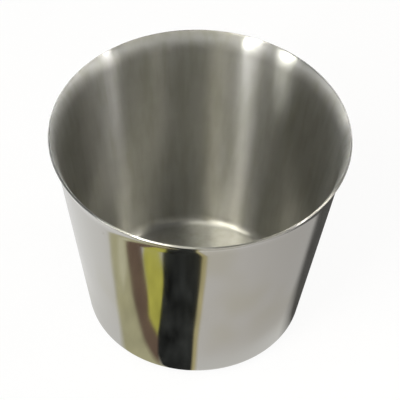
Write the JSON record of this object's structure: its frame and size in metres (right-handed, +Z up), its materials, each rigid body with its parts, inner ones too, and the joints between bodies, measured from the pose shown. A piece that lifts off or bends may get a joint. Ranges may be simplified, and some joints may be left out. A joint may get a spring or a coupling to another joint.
{
  "type": "deep drawn metal cup",
  "caption": "Tapered drawn sheet metal cup with a soft flared lip, a straight tapered wall and a flat foot; polished outside, satin inside.",
  "frame": {"origin": "middle of the foot, on the surface that the cup stands on", "axes": "+Z up along the cup's axis, towards the open lip; X and Y are any two level directions"},
  "size_m": [0.08, 0.08, 0.0635],
  "materials": {
    "steel": "mirror polished outside, satin inside with fine polishing lines round the axis"
  },
  "bodies": {
    "root": {"cup": "steel"}
  },
  "joints": []
}
